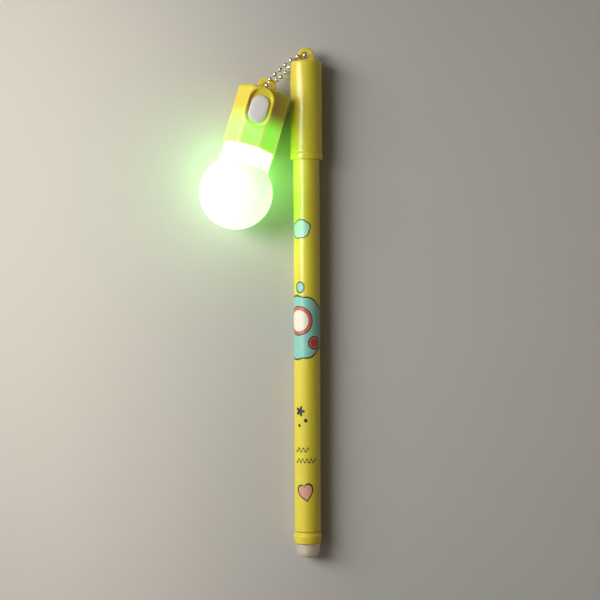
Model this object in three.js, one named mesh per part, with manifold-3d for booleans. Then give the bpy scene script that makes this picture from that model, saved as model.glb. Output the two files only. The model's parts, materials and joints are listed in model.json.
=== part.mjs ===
// A capped gel pen with an eraser tail, and a small lamp on a ball chain from the cap's eyelet.
// Both lie flat: the pen along Y with its cap towards +Y, the lamp beside the cap, the ground at z = 0.
// Lengths are in millimetres and angles in degrees.

import * as THREE from 'three';
import { mergeVertices } from 'three/addons/utils/BufferGeometryUtils.js';
import Module from 'manifold-3d';

const wasm = await Module();
wasm.setup();

// Fits that every piece shares
const runningGap = 0.1;
const seatGap = 0.2;
const edgeBreak = 0.2;
const fineSides = 32;
const mediumSides = 24;
const smallSides = 16;
const weldDistance = 1e-4;

// Cap: y = 0 on the pen is the mouth of the cap
const capRadius = 5.15;
const capBore = 4.42;
const capTopWall = 1.2;
const capShoulder = 1.1;
const capDome = 0.3;
const lipReach = 0.1;
const lipLength = 2;
const lipGroove = 0.12;

// Eyelet on the cap and loop on the lamp: flat tabs with a hole
const eyeletRadius = 2.6;
const eyeletHole = 1.15;
const eyeletRise = 1.7;
const eyeletThickness = 1.8;
const loopRadius = 2.95;
const loopHole = 1.2;
const loopRise = 1.55;
const loopThickness = 1.8;
const tabRoot = 1.1;

// Barrel and the parts in its ends
const barrelRadius = 4.25;
const barrelBore = 3.35;
const barrelInCap = 12.5;
const snapRingFromFront = 5.5;
const snapRingLength = 0.8;
const neckRadius = 3.75;
const neckLength = 8;
const noseBore = 3.15;
const noseCollar = 1.6;
const noseLength = 13.3;
const noseTipRadius = 1.75;
const noseTipBore = 1.4;

// Refill and its metal nib
const refillRadius = 3;
const refillWall = 0.4;
const refillLength = 130;
const nibBeyondNose = 2.25;
const refillToNibEnd = 13;
const holderSpigot = 5;
const holderCollar = 1;
const holderTipRadius = 1.1;
const holderTipToNibEnd = 4;
const nibRadius = 1.05;
const nibShankRadius = 0.7;
const nibShankLength = 4.2;
const nibStraight = 1.9;
const nibRim = 0.42;
const ballRadius = 0.35;
const ballSeat = 0.06;
const inkLength = 82;
const followerLength = 5;

// Seal in the top of the cap, which closes over the nib
const sealLength = 3.3;
const sealPocketRadius = 1.25;
const sealPocketFloor = 0.65;
const sealPocketGap = 0.35;

// Tail plug and eraser
const ringLength = 3.8;
const ringRadius = 4.2;
const ringRidge = 4.55;
const ringRidgeFromBarrel = 1.1;
const plugSpigotLength = 7.5;
const plugStemRadius = 1.5;
const plugStemLength = 11.05;
const pegRadius = 2.2;
const pegLength = 3;
const eraserRadius = 4.05;
const eraserLength = 4.4;
const eraserCorner = 2.4;
const eraserEndWall = 1.2;

// Lamp housing: y = 0 on the lamp is the middle of its globe, +Z the side with the button
const globeRadius = 11.75;
const globeWall = 1;
const diffuserNeckRadius = 8.15;
const housingFront = 14.6;
const housingFlat = 8.5;
const housingCorner = 0.8;
const housingShoulder = 1.2;
const housingBore = 7.1;
const housingEndCrown = 0.6;
const housingEndWall = 2.35;
const spigotLength = 4;
const spigotWall = 1;

// Raised frame, recess and push button
const frameWidth = 8.75;
const frameLength = 13.5;
const frameRise = 0.9;
const frameFromEnd = 7.68;
const recessWidth = 7.35;
const recessLength = 12.1;
const recessDepth = 1.1;
const thumbRampRise = 0.9;
const buttonWidth = 5.9;
const buttonLength = 8.9;
const buttonFromFrame = 0.47;
const buttonBelowRim = 0.15;
const buttonCrown = 0.3;
const buttonCrownInset = 1;
const buttonFit = 0.15;
const buttonFlange = 0.62;
const buttonFlangeHeight = 0.7;
const buttonFlangeTop = 5.95;
const buttonTravel = 0.7;

// Circuit board, switch, diode and cells
const boardTop = 1.9;
const boardThickness = 0.8;
const boardWidth = 13.1;
const boardFromSpigot = 0.5;
const boardEndGap = 0.5;
const switchSize = 6;
const switchBodyHeight = 2.1;
const switchFloor = 0.4;
const plungerRadius = 1.5;
const diodeRadius = 2.5;
const diodeFlangeRadius = 2.9;
const diodeFlangeLength = 1;
const diodeLength = 8.6;
const diodeLeadSize = 0.5;
const diodeLeadSpacing = 2.54;
const holderThickness = 1.6;
const cellRadius = 3.95;
const cellLength = 3.6;
const cellCount = 3;
const cellRim = 0.35;
const contactThickness = 0.3;
const contactRadius = 3.5;
const contactTabWidth = 2.4;
const springSpace = 1.2;
const springTurns = 2.5;
const springOuterRadius = 3.2;
const springInnerRadius = 1.8;
const springWire = 0.4;

// How the lamp lies beside the pen
const lampTurn = 16.2;
const lampToCap = 0.1;
const lampLoopBelowEyelet = 10.2;

// Ball chain
const beadRadius = 0.75;
const beadWall = 0.11;
const beadPitch = 2.45;
const beadHole = 0.16;
const linkRadius = 0.11;
const linkHeadRadius = 0.2;
const linkHeadFromCentre = 0.27;
const chainGap = 0.15;
const claspWall = 0.13;
const claspBore = 0.83;
const claspSlot = 0.6;
const claspPlace = 0.75;

// The chain's route: three numbers are x, y and z from the middle of the eyelet's or the loop's hole
const chainOverEyelet = [[-0.3, 0, 0], [-2.9, -0.6, 0], [-4.95, -1.8, 0.1], [-6.8, -3.45, 0.5]];
const chainOverLoop = [[2.5, 3.4, -0.4], [1.05, 1.8, 0.1], [0.15, 0.4, 0]];
const chainUnderLoop = [[0.3, 0.6, 0], [2.1, 1.9, -1.4]];
const chainOnGround = [[-7.6, -5.9, 0.6], [-6.3, -4.3, 0], [-4.9, -2.6, 0], [-3.1, -1, 0.5]];
const chainUnderEyelet = [[-0.7, -0.1, 0]];

const finishes = {
  yellowPlastic: { color: 0xdccb45, roughness: 0.3, metalness: 0 },
  greyPlastic: { color: 0xcdcac8, roughness: 0.45, metalness: 0 },
  frostedPlastic: { color: 0xf2f6ee, roughness: 0.5, metalness: 0 },
  frostedRubber: { color: 0xe6dfc8, roughness: 0.6, metalness: 0 },
  clearPlastic: { color: 0xdfe6e8, roughness: 0.15, metalness: 0 },
  blackPlastic: { color: 0x1d1d1f, roughness: 0.5, metalness: 0 },
  blueInk: { color: 0x1c2c7a, roughness: 0.2, metalness: 0 },
  paleGrease: { color: 0xe8e2c0, roughness: 0.3, metalness: 0 },
  softSeal: { color: 0x8c9094, roughness: 0.8, metalness: 0 },
  steel: { color: 0xc4c6c8, roughness: 0.22, metalness: 1 },
  brass: { color: 0xc9a85a, roughness: 0.3, metalness: 1 },
  greenBoard: { color: 0x1f6b3a, roughness: 0.5, metalness: 0 },
};

// Closed shell with shared corners, no flat faces and its outside facing out
function shell(geometry) {
  geometry.deleteAttribute('normal');
  geometry.deleteAttribute('uv');
  const welded = mergeVertices(geometry, weldDistance);
  const corners = welded.index.array;
  const faces = [];
  for (let i = 0; i < corners.length; i += 3) {
    const [a, b, c] = corners.slice(i, i + 3);
    if (a !== b && b !== c && c !== a) faces.push(a, b, c);
  }
  if (signedVolume(welded.attributes.position, faces) < 0) faces.reverse();
  welded.setIndex(faces);
  return welded;
}

function signedVolume(position, faces) {
  const corners = [new THREE.Vector3(), new THREE.Vector3(), new THREE.Vector3()];
  let volume = 0;
  for (let i = 0; i < faces.length; i += 3) {
    corners.forEach((corner, k) => corner.fromBufferAttribute(position, faces[i + k]));
    volume += corners[0].dot(corners[1].clone().cross(corners[2])) / 6;
  }
  return volume;
}

function toSolid(geometry) {
  const closed = shell(geometry);
  const vertProperties = new Float32Array(closed.attributes.position.array);
  const triVerts = new Uint32Array(closed.index.array);
  return new wasm.Manifold(new wasm.Mesh({ numProp: 3, vertProperties, triVerts }));
}

function toGeometry(solid) {
  const mesh = solid.getMesh();
  const geometry = new THREE.BufferGeometry();
  geometry.setAttribute('position', new THREE.BufferAttribute(mesh.vertProperties, 3));
  geometry.setIndex(new THREE.BufferAttribute(mesh.triVerts, 1));
  return geometry;
}

function join(...geometries) {
  return toGeometry(geometries.map(toSolid).reduce((whole, piece) => whole.add(piece)));
}

function cut(geometry, ...tools) {
  return toGeometry(tools.map(toSolid).reduce((rest, tool) => rest.subtract(tool), toSolid(geometry)));
}

function common(first, second) {
  return toGeometry(toSolid(first).intersect(toSolid(second)));
}

// Turned piece about the Y axis, from the [radius, y] points of its outline
function turned(outline, sides = fineSides) {
  const points = outline.map(([radius, y]) => new THREE.Vector2(radius, y));
  return shell(new THREE.LatheGeometry(points, sides, Math.PI / sides));
}

function rod(radius, from, to, sides = fineSides) {
  return turned([[0, from], [radius, from], [radius, to], [0, to]], sides);
}

// Points of an arc in an outline, from one angle to another round its middle
function arc(middleRadius, middleY, radius, fromAngle, toAngle, steps) {
  return Array.from({ length: steps + 1 }, (_, i) => {
    const angle = THREE.MathUtils.degToRad(fromAngle + ((toAngle - fromAngle) * i) / steps);
    return [middleRadius + radius * Math.cos(angle), middleY + radius * Math.sin(angle)];
  });
}

// Straight prism along Z of an outline in the XY plane
function prism(shape, bottom, top, curveSegments = 8) {
  const settings = { depth: top - bottom, bevelEnabled: false, curveSegments };
  return new THREE.ExtrudeGeometry(shape, settings).translate(0, 0, bottom);
}

function block(width, length, height, x, y, z) {
  return new THREE.BoxGeometry(width, length, height).translate(x, y, z);
}

// Skin over a row of rings with as many points each, closed by a flat lid at both ends
function skinned(rings) {
  const sides = rings[0].length;
  const last = (rings.length - 1) * sides;
  const corners = rings.flat();
  const faces = [];
  for (let start = 0; start < last; start += sides) {
    for (let side = 0; side < sides; side += 1) {
      const a = start + side;
      const b = start + ((side + 1) % sides);
      faces.push(a, b, b + sides, a, b + sides, a + sides);
    }
  }
  for (const [start, forwards] of [[0, false], [last, true]]) {
    const ring = corners.slice(start, start + sides);
    const middle = corners.push(ring.reduce((sum, p) => sum.add(p), new THREE.Vector3())) - 1;
    corners[middle].divideScalar(sides);
    for (let side = 0; side < sides; side += 1) {
      const a = start + side;
      const b = start + ((side + 1) % sides);
      faces.push(middle, forwards ? a : b, forwards ? b : a);
    }
  }
  const geometry = new THREE.BufferGeometry().setFromPoints(corners);
  geometry.setIndex(faces);
  return shell(geometry);
}

// Ring with straight sides and round ends, longer along Y, at height z
function stadiumRing(width, length, inset, middleY, z, steps = 8) {
  const straight = (length - width) / 2;
  const radius = width / 2 - inset;
  return [1, -1].flatMap((end) => Array.from({ length: steps + 1 }, (_, i) => {
    const angle = (end > 0 ? 0 : Math.PI) + (Math.PI * i) / steps;
    const y = middleY + end * straight + radius * Math.sin(angle);
    return new THREE.Vector3(radius * Math.cos(angle), y, z);
  }));
}

function stadium(width, length, middleY, bottom, top) {
  return skinned([bottom, top].map((z) => stadiumRing(width, length, 0, middleY, z)));
}

// Octagonal ring round the Y axis with rounded corners and a flat towards +Z
function octagonRing(flat, corner, y, steps = 3) {
  const cornerRadius = (flat - corner) / Math.cos(Math.PI / 8);
  return Array.from({ length: 8 }, (_, side) => side).flatMap((side) => {
    const towards = (side + 0.5) * (Math.PI / 4);
    return Array.from({ length: steps + 1 }, (_, i) => {
      const angle = (side + i / steps) * (Math.PI / 4);
      const x = cornerRadius * Math.cos(towards) + corner * Math.cos(angle);
      const z = cornerRadius * Math.sin(towards) + corner * Math.sin(angle);
      return new THREE.Vector3(x, y, z);
    });
  });
}

// Flat tab along +Y with a round end, a hole for the chain and broken edges
function tab(radius, holeRadius, holeY, rootY, thickness) {
  const ring = (inset, z) => [
    ...arc(0, holeY, radius - inset, 0, 180, 14),
    [inset - radius, rootY],
    [radius - inset, rootY],
  ].map(([x, y]) => new THREE.Vector3(x, y, z));
  const face = thickness / 2;
  const plate = skinned([
    ring(edgeBreak, -face),
    ring(0, edgeBreak - face),
    ring(0, face - edgeBreak),
    ring(edgeBreak, face),
  ]);
  const hole = rod(holeRadius, -thickness, thickness, smallSides).rotateX(Math.PI / 2);
  return cut(plate, hole.translate(0, holeY, 0));
}

function piece(name, geometry, finish) {
  const mesh = new THREE.Mesh(geometry, new THREE.MeshStandardMaterial(finishes[finish]));
  mesh.name = name;
  return mesh;
}

// Stations along the pen
const barrelFront = barrelInCap;
const noseFront = barrelFront + noseLength;
const nibEnd = noseFront + nibBeyondNose;
const sealFront = nibEnd - sealPocketFloor;
const capLength = sealFront + sealLength + seatGap + capTopWall;
const eyeletY = capLength + eyeletRise;
const holderTip = nibEnd - holderTipToNibEnd;
const refillFront = nibEnd - refillToNibEnd;
const refillBack = nibEnd - refillLength;
const ringFront = refillBack - seatGap - plugStemLength - plugSpigotLength;
const barrelBack = ringFront + seatGap;
const ringBack = ringFront - ringLength;

function makeCap() {
  const lipRadius = capRadius + lipReach;
  const top = capLength - capDome;
  const outline = [
    [0, capLength],
    ...arc(capRadius - capShoulder, top - capShoulder, capShoulder, 90, 0, 4),
    [capRadius, lipLength + 2 * lipGroove],
    [capRadius - lipGroove, lipLength + lipGroove],
    [lipRadius, lipLength],
    [lipRadius, edgeBreak],
    [lipRadius - edgeBreak, 0],
    [capBore, 0],
    [capBore, capLength - capTopWall],
    [0, capLength - capTopWall],
  ];
  const eyelet = tab(eyeletRadius, eyeletHole, eyeletY, capLength - tabRoot, eyeletThickness);
  return piece('cap', join(turned(outline), eyelet), 'yellowPlastic');
}

function makeCapSeal() {
  const back = sealFront + sealLength;
  const pocketEnd = nibEnd + sealPocketGap;
  return piece('cap_seal', turned([
    [0, back],
    [capBore - runningGap, back],
    [capBore - runningGap, sealFront],
    [sealPocketRadius, sealFront],
    [ballRadius + seatGap, pocketEnd],
    [0, pocketEnd],
  ], mediumSides), 'softSeal');
}

function makeBarrel() {
  const ringMiddle = barrelFront - snapRingFromFront;
  const snapRing = capBore * Math.cos(Math.PI / fineSides) - runningGap / 2;
  const neckEnd = barrelFront - neckLength;
  return piece('barrel', turned([
    [barrelBore, barrelBack],
    [barrelRadius - edgeBreak, barrelBack],
    [barrelRadius, barrelBack + edgeBreak],
    [barrelRadius, ringMiddle - snapRingLength],
    [snapRing, ringMiddle],
    [barrelRadius, ringMiddle + snapRingLength],
    [barrelRadius, barrelFront - edgeBreak],
    [barrelRadius - edgeBreak, barrelFront],
    [neckRadius, barrelFront],
    [neckRadius, neckEnd],
    [barrelBore, neckEnd],
    [barrelBore, barrelBack],
  ]), 'yellowPlastic');
}

function makeNoseCone() {
  const back = barrelFront - neckLength + seatGap;
  const collarBack = barrelFront + seatGap;
  const collarFront = collarBack + noseCollar;
  return piece('nose_cone', turned([
    [noseBore, back],
    [neckRadius - runningGap, back],
    [neckRadius - runningGap, collarBack],
    [barrelRadius - edgeBreak, collarBack],
    [barrelRadius - edgeBreak, collarFront],
    [(barrelRadius + noseTipRadius) / 2 + 0.35, (collarFront + noseFront) / 2],
    [noseTipRadius, noseFront - edgeBreak],
    [noseTipRadius - edgeBreak, noseFront],
    [noseTipBore, noseFront],
    [noseTipBore, holderTip],
    [noseBore, refillFront + seatGap + holderCollar],
    [noseBore, back],
  ], mediumSides), 'yellowPlastic');
}

function makeRefillTube() {
  return piece('refill_tube', turned([
    [refillRadius - refillWall, refillBack],
    [refillRadius, refillBack],
    [refillRadius, refillFront],
    [refillRadius - refillWall, refillFront],
    [refillRadius - refillWall, refillBack],
  ], smallSides), 'clearPlastic');
}

function makeTipHolder() {
  const collarBack = refillFront + seatGap;
  const collarFront = collarBack + holderCollar;
  return piece('tip_holder', turned([
    [0, refillFront - holderSpigot],
    [refillRadius - refillWall - runningGap, refillFront - holderSpigot],
    [refillRadius - refillWall - runningGap, collarBack],
    [refillRadius - runningGap, collarBack],
    [refillRadius - runningGap, collarFront],
    [holderTipRadius, holderTip],
    [nibShankRadius + runningGap, holderTip],
    [nibShankRadius + runningGap, holderTip - nibShankLength],
    [0, holderTip - nibShankLength],
  ], smallSides), 'clearPlastic');
}

function makeNib() {
  const shoulder = holderTip + seatGap;
  const straightEnd = shoulder + nibStraight;
  const ballMiddle = nibEnd - ballRadius;
  return piece('nib', turned([
    [0, shoulder - nibShankLength],
    [nibShankRadius, shoulder - nibShankLength],
    [nibShankRadius, shoulder],
    [nibRadius, shoulder],
    [nibRadius, straightEnd],
    [nibRim + ballSeat, ballMiddle],
    [nibRim, ballMiddle + ballSeat],
    [nibRim, ballMiddle - ballRadius / 2],
    [0, ballMiddle - ballRadius - 2 * ballSeat],
  ], smallSides), 'steel');
}

function makeNibBall() {
  const ball = new THREE.SphereGeometry(ballRadius, 8, 6).translate(0, nibEnd - ballRadius, 0);
  return piece('nib_ball', shell(ball), 'steel');
}

function makeInk() {
  const bore = refillRadius - refillWall - runningGap;
  const inkFront = refillFront - holderSpigot - seatGap;
  const inkBack = inkFront - inkLength;
  const followerFront = inkBack - seatGap;
  return [
    piece('ink_column', rod(bore, inkBack, inkFront, smallSides), 'blueInk'),
    piece('ink_follower', rod(bore, followerFront - followerLength, followerFront, smallSides), 'paleGrease'),
  ];
}

function makeTailPlug() {
  const spigotFront = ringFront + plugSpigotLength;
  return piece('tail_plug', turned([
    [0, ringBack - pegLength],
    [pegRadius, ringBack - pegLength],
    [pegRadius, ringBack],
    [ringRadius - edgeBreak, ringBack],
    [ringRadius, ringBack + edgeBreak],
    [ringRidge - edgeBreak, ringFront - ringRidgeFromBarrel - edgeBreak],
    [ringRidge, ringFront - ringRidgeFromBarrel],
    [ringRadius, ringFront - edgeBreak],
    [ringRadius - edgeBreak, ringFront],
    [barrelBore - runningGap, ringFront],
    [barrelBore - runningGap, spigotFront],
    [plugStemRadius, spigotFront],
    [plugStemRadius, refillBack - seatGap],
    [0, refillBack - seatGap],
  ]), 'yellowPlastic');
}

function makeEraser() {
  const front = ringBack - seatGap;
  const back = front - eraserLength;
  const boreEnd = back + eraserEndWall;
  return piece('eraser', turned([
    [0, back],
    ...arc(eraserRadius - eraserCorner, back + eraserCorner, eraserCorner, -90, 0, 5),
    [eraserRadius, front],
    [pegRadius + runningGap, front],
    [pegRadius + runningGap, boreEnd],
    [0, boreEnd],
  ], mediumSides), 'frostedRubber');
}

// Stations along the lamp
const spigotRadius = housingBore * Math.cos(Math.PI / fineSides) - runningGap;
const spigotEnd = housingFront + spigotLength;
const boardFront = spigotEnd + boardFromSpigot;
const contactFront = boardFront + contactThickness;
const cellsFront = contactFront + contactThickness + seatGap;
const cellPitch = cellLength + runningGap;
const cellsEnd = cellsFront + cellCount * cellPitch;
const boreEnd = cellsEnd + springSpace;
const housingEnd = boreEnd + housingEndWall;
const crownFoot = housingEnd - housingEndCrown;
const loopY = housingEnd + loopRise;
const frameY = housingEnd - frameFromEnd;
const buttonY = frameY - buttonFromFrame;
const frameTop = housingFlat + frameRise;
const recessFloor = frameTop - recessDepth;
const buttonTop = frameTop - buttonBelowRim;
const plungerTop = buttonFlangeTop - buttonFlangeHeight - runningGap;
const boardMiddle = boardTop - boardThickness / 2;
const diodeBase = spigotEnd - holderThickness;
const cellZ = boardTop - boardThickness - cellRadius - runningGap;

function makeHousing() {
  const arcSteps = 4;
  const rings = [
    octagonRing(housingFlat - edgeBreak, housingCorner, housingFront),
    octagonRing(housingFlat, housingCorner, housingFront + edgeBreak),
  ];
  for (let i = 0; i <= arcSteps; i += 1) {
    const angle = ((Math.PI / 2) * i) / arcSteps;
    const inset = housingShoulder * (1 - Math.cos(angle));
    const y = crownFoot - housingShoulder * (1 - Math.sin(angle));
    rings.push(octagonRing(housingFlat - inset, housingCorner, y));
  }
  const crownFlat = (housingFlat - housingShoulder) / 2;
  rings.push(octagonRing(crownFlat, housingCorner, housingEnd - housingEndCrown / 4));
  rings.push(octagonRing(housingCorner, housingCorner / 2, housingEnd));
  const frame = skinned([
    stadiumRing(frameWidth, frameLength, 0, frameY, (housingFlat + housingBore) / 2),
    stadiumRing(frameWidth, frameLength, 0, frameY, frameTop - edgeBreak),
    stadiumRing(frameWidth, frameLength, edgeBreak, frameY, frameTop),
  ]);
  const recess = stadium(recessWidth, recessLength, frameY, recessFloor, frameTop + 1);
  const opening = stadium(buttonWidth + 2 * buttonFit, buttonLength + 2 * buttonFit, buttonY, 0, frameTop);
  const bore = rod(housingBore, housingFront - 1, boreEnd);
  const loop = tab(loopRadius, loopHole, loopY, housingEnd - tabRoot, loopThickness);
  const body = cut(join(skinned(rings), frame, loop), recess, bore, opening);
  return piece('lamp_housing', join(body, makeThumbRamp()), 'yellowPlastic');
}

// Slope in the recess at its loop end, which leads the thumb down on to the button
function makeThumbRamp() {
  const recessEnd = frameY + recessLength / 2;
  const rampStart = buttonY + buttonLength / 2 + buttonFit + seatGap;
  const slope = new THREE.Shape();
  slope.moveTo(rampStart, recessFloor - edgeBreak);
  slope.lineTo(recessEnd + 1, recessFloor - edgeBreak);
  slope.lineTo(recessEnd + 1, recessFloor + thumbRampRise);
  slope.lineTo(recessEnd, recessFloor + thumbRampRise);
  slope.lineTo(rampStart, recessFloor);
  slope.closePath();
  const wedge = prism(slope, -recessWidth, recessWidth);
  wedge.rotateZ(Math.PI / 2).rotateY(Math.PI / 2);
  const filled = stadium(recessWidth + edgeBreak, recessLength + edgeBreak, frameY, 0, frameTop - edgeBreak);
  return common(wedge, filled);
}

function makeDiffuser() {
  const neckInner = diffuserNeckRadius - globeWall;
  const innerRadius = globeRadius - globeWall;
  const outerAngle = THREE.MathUtils.radToDeg(Math.acos(diffuserNeckRadius / globeRadius));
  const innerAngle = THREE.MathUtils.radToDeg(Math.acos(neckInner / innerRadius));
  const neckEnd = housingFront - seatGap;
  const spigotInner = spigotRadius - spigotWall;
  return piece('diffuser', turned([
    ...arc(0, 0, globeRadius, -90, outerAngle, 12),
    [diffuserNeckRadius, neckEnd],
    [spigotRadius, neckEnd],
    [spigotRadius, spigotEnd],
    [spigotInner, spigotEnd],
    [spigotInner, neckEnd],
    [neckInner, neckEnd - spigotWall],
    ...arc(0, 0, innerRadius, innerAngle, -90, 7),
  ]), 'frostedPlastic');
}

function makeButton() {
  const buttonEdge = buttonTop - buttonCrown;
  const cap = skinned([
    stadiumRing(buttonWidth, buttonLength, 0, buttonY, buttonFlangeTop - buttonFlangeHeight / 2),
    stadiumRing(buttonWidth, buttonLength, 0, buttonY, buttonEdge),
    stadiumRing(buttonWidth, buttonLength, buttonCrownInset / 3, buttonY, buttonTop - buttonCrown / 4),
    stadiumRing(buttonWidth, buttonLength, buttonCrownInset, buttonY, buttonTop),
  ]);
  const flangeWidth = buttonWidth + 2 * buttonFlange;
  const flangeLength = buttonLength + 2 * buttonFlange;
  const flangeBottom = buttonFlangeTop - buttonFlangeHeight;
  const flange = stadium(flangeWidth, flangeLength, buttonY, flangeBottom, buttonFlangeTop);
  return piece('push_button', join(cap, flange), 'greyPlastic');
}

// Upright rod along Z through the middle of the button
function upright(radius, bottom, top) {
  return rod(radius, bottom, top, smallSides).rotateX(Math.PI / 2).translate(0, buttonY, 0);
}

function makeSwitch() {
  const bottom = boardTop + runningGap;
  const floor = bottom + switchFloor;
  const middle = bottom + switchBodyHeight / 2;
  const body = block(switchSize, switchSize, switchBodyHeight, 0, buttonY, middle);
  const hole = upright(plungerRadius + runningGap, floor, bottom + switchBodyHeight + 1);
  const plunger = upright(plungerRadius, floor + buttonTravel + runningGap, plungerTop);
  return {
    body: piece('switch_body', cut(body, hole), 'blackPlastic'),
    plunger: piece('switch_plunger', plunger, 'blackPlastic'),
  };
}

function makeDiode() {
  const dome = turned([
    [0, diodeBase - diodeLength],
    ...arc(0, diodeBase - diodeLength + diodeRadius, diodeRadius, -72, 0, 4),
    [diodeRadius, diodeBase - diodeFlangeLength],
    [diodeFlangeRadius, diodeBase - diodeFlangeLength],
    [diodeFlangeRadius, diodeBase],
    [0, diodeBase],
  ], smallSides);
  const leadTop = boardTop - boardThickness - runningGap;
  const leadLength = boardFront + contactThickness - seatGap - diodeBase + edgeBreak;
  const leadMiddle = diodeBase - edgeBreak + leadLength / 2;
  const leads = [-1, 1].map((side) => block(
    diodeLeadSize, leadLength, diodeLeadSize,
    (side * diodeLeadSpacing) / 2, leadMiddle, leadTop - diodeLeadSize / 2,
  ));
  return piece('light_diode', join(dome, ...leads), 'clearPlastic');
}

// Round plate behind the diode, slotted for its two leads
function makeDiodeHolder() {
  const radius = (spigotRadius - spigotWall) * Math.cos(Math.PI / fineSides) - runningGap;
  const plate = rod(radius, diodeBase + runningGap, spigotEnd);
  const leadTop = boardTop - boardThickness - runningGap;
  const slotHeight = diodeLeadSize + 2 * runningGap;
  const slotWidth = diodeLeadSpacing + diodeLeadSize + 2 * runningGap;
  const slotLength = 4 * holderThickness;
  const slot = block(slotWidth, slotLength, slotHeight, 0, spigotEnd, leadTop - diodeLeadSize / 2);
  return piece('diode_holder', cut(plate, slot), 'blackPlastic');
}

function makeBoard() {
  const back = boreEnd - boardEndGap;
  const length = back - boardFront;
  const board = block(boardWidth, length, boardThickness, 0, boardFront + length / 2, boardMiddle);
  return piece('circuit_board', shell(board), 'greenBoard');
}

function makeCell(number) {
  const front = cellsFront + number * cellPitch;
  const back = front + cellLength;
  const cell = turned([
    [0, front],
    [cellRadius - 2 * cellRim, front],
    [cellRadius - cellRim, front + cellRim],
    [cellRadius, front + cellRim],
    [cellRadius, back - edgeBreak],
    [cellRadius - edgeBreak, back],
    [0, back],
  ], mediumSides).translate(0, 0, cellZ);
  return piece(`button_cell_${number + 1}`, cell, 'steel');
}

function makeContactPlate() {
  const disc = rod(contactRadius, contactFront, contactFront + contactThickness, smallSides);
  const tabTop = boardTop - boardThickness - runningGap;
  const tabHeight = tabTop - cellZ;
  const middle = contactFront + contactThickness / 2;
  const strip = block(contactTabWidth, contactThickness, tabHeight, 0, middle, cellZ + tabHeight / 2);
  return piece('contact_plate', join(disc.translate(0, 0, cellZ), strip), 'brass');
}

// Conical coil that presses the cells against the contact plate
class CoilCurve extends THREE.Curve {
  getPoint(t, target = new THREE.Vector3()) {
    const start = cellsEnd + springWire / 2 + runningGap;
    const end = boreEnd - springWire / 2 - runningGap;
    const angle = 2 * Math.PI * springTurns * t;
    const radius = THREE.MathUtils.lerp(springInnerRadius, springOuterRadius, t);
    const y = THREE.MathUtils.lerp(start, end, t);
    return target.set(radius * Math.cos(angle), y, cellZ + radius * Math.sin(angle));
  }
}

function makeContactSpring() {
  const section = new THREE.Shape();
  section.absarc(0, 0, springWire / 2, 0, 2 * Math.PI, false);
  const settings = {
    steps: Math.round(springTurns * 10),
    curveSegments: 3,
    bevelEnabled: false,
    extrudePath: new CoilCurve(),
  };
  return piece('contact_spring', shell(new THREE.ExtrudeGeometry(section, settings)), 'steel');
}

// A group stands on the ground once its lowest point is at z = 0
function setDown(group) {
  group.updateMatrixWorld(true);
  group.position.z -= new THREE.Box3().setFromObject(group, true).min.z;
  group.updateMatrixWorld(true);
}

function makePen() {
  const capGroup = new THREE.Group();
  capGroup.name = 'cap_group';
  capGroup.add(makeCap(), makeCapSeal());
  const pen = new THREE.Group();
  pen.name = 'pen_group';
  pen.add(makeBarrel(), makeNoseCone(), makeRefillTube(), ...makeInk(), makeTipHolder());
  pen.add(makeNib(), makeNibBall(), makeTailPlug(), makeEraser(), capGroup);
  const contactSpan = edgeBreak - (ringFront - ringRidgeFromBarrel);
  pen.rotation.x = Math.atan((capRadius + lipReach - ringRidge) / contactSpan);
  setDown(pen);
  return pen;
}

// The lamp leans on its globe and on the rounded end edge of its housing
function lampLean() {
  const along = crownFoot - housingShoulder;
  const below = housingFlat - housingShoulder;
  const drop = globeRadius * Math.cos(Math.PI / fineSides) - housingShoulder;
  return Math.asin(drop / Math.hypot(along, below)) - Math.atan(below / along);
}

function makeLamp(eyelet) {
  const switchParts = makeSwitch();
  const cells = Array.from({ length: cellCount }, (_, number) => makeCell(number));
  const buttonGroup = new THREE.Group();
  buttonGroup.name = 'button_group';
  buttonGroup.add(makeButton(), switchParts.plunger);
  const lamp = new THREE.Group();
  lamp.name = 'lamp_group';
  lamp.add(makeHousing(), makeDiffuser(), makeDiode(), makeDiodeHolder(), makeBoard());
  lamp.add(switchParts.body, ...cells, makeContactPlate(), makeContactSpring(), buttonGroup);
  lamp.rotation.x = -lampLean();
  const stand = new THREE.Group();
  stand.add(lamp);
  stand.rotation.z = -THREE.MathUtils.degToRad(lampTurn);
  setDown(stand);
  const housingBox = new THREE.Box3().setFromObject(lamp.getObjectByName('lamp_housing'), true);
  const loop = lamp.localToWorld(new THREE.Vector3(0, loopY, 0));
  stand.position.x -= housingBox.max.x + capRadius + lampToCap;
  stand.position.y += eyelet.y - lampLoopBelowEyelet - loop.y;
  stand.updateMatrixWorld(true);
  return stand;
}

// Closed route of the chain: over the eyelet, over and down through the lamp's loop, back along the
// ground, and up through the eyelet
function chainRoute(eyelet, loop) {
  const above = beadRadius + chainGap;
  const ground = claspBore + claspWall + 2 * chainGap;
  const from = (origin, rise) => ([x, y, z]) => new THREE.Vector3(origin.x + x, origin.y + y, rise + z);
  return new THREE.CatmullRomCurve3([
    ...chainOverEyelet.map(from(eyelet, eyelet.z + eyeletThickness / 2 + above)),
    ...chainOverLoop.map(from(loop, loop.z + loopThickness / 2 + above)),
    loop,
    ...chainUnderLoop.map(from(loop, loop.z - loopThickness / 2 - above)),
    ...chainOnGround.map(from(eyelet, ground)),
    ...chainUnderEyelet.map(from(eyelet, eyelet.z - eyeletThickness / 2 - above)),
    eyelet,
  ], true, 'centripetal');
}

// Turns a piece made along +Y to run along a direction from a point
function aimed(geometry, start, direction) {
  const turn = new THREE.Quaternion().setFromUnitVectors(new THREE.Vector3(0, 1, 0), direction);
  return geometry.applyQuaternion(turn).translate(start.x, start.y, start.z);
}

function directionTo(from, to) {
  return to.clone().sub(from).normalize();
}

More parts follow.
